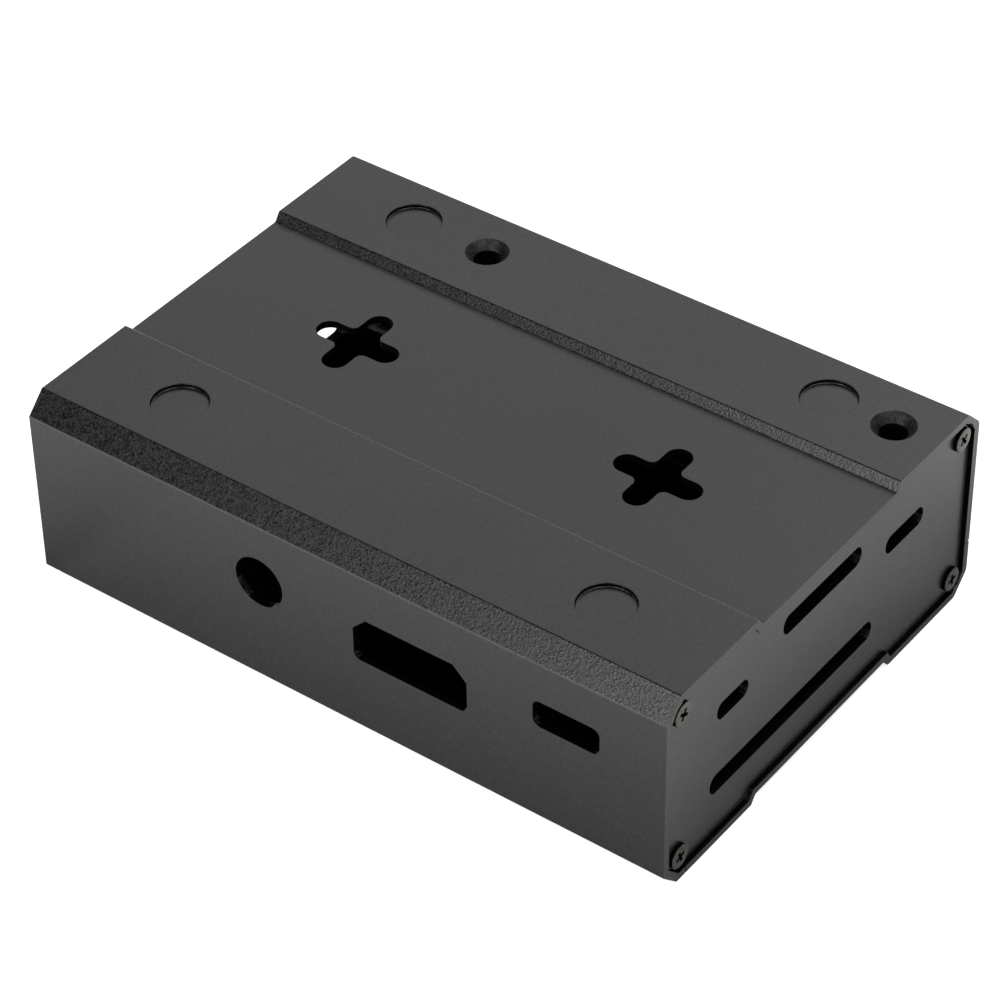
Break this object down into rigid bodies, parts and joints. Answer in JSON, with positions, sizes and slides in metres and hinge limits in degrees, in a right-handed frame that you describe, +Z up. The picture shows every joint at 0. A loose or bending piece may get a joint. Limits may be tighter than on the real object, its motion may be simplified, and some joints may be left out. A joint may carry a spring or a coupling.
{
  "type": "single-board computer case",
  "caption": "Low black aluminium case for a small computer board: two extruded shells closed by screwed end plates, with port openings, hanging crosses and foot recesses.",
  "frame": {"origin": "middle of the plane that the cover rests on, under the middle of the case", "axes": "+X along the extrusions towards the card end, +Y from the port wall to the back wall, +Z up through the base face with the foot recesses"},
  "size_m": [0.09, 0.0636, 0.0278],
  "materials": {
    "shell": "sandblasted and black anodised",
    "plate": "fine blasted and black anodised",
    "screw": "black oxide"
  },
  "bodies": {
    "root": {"base_shell": "shell", "cover_shell": "shell", "card_end_plate": "plate", "connector_end_plate": "plate", "card_end_screws": "screw", "connector_end_screws": "screw"}
  },
  "joints": []
}
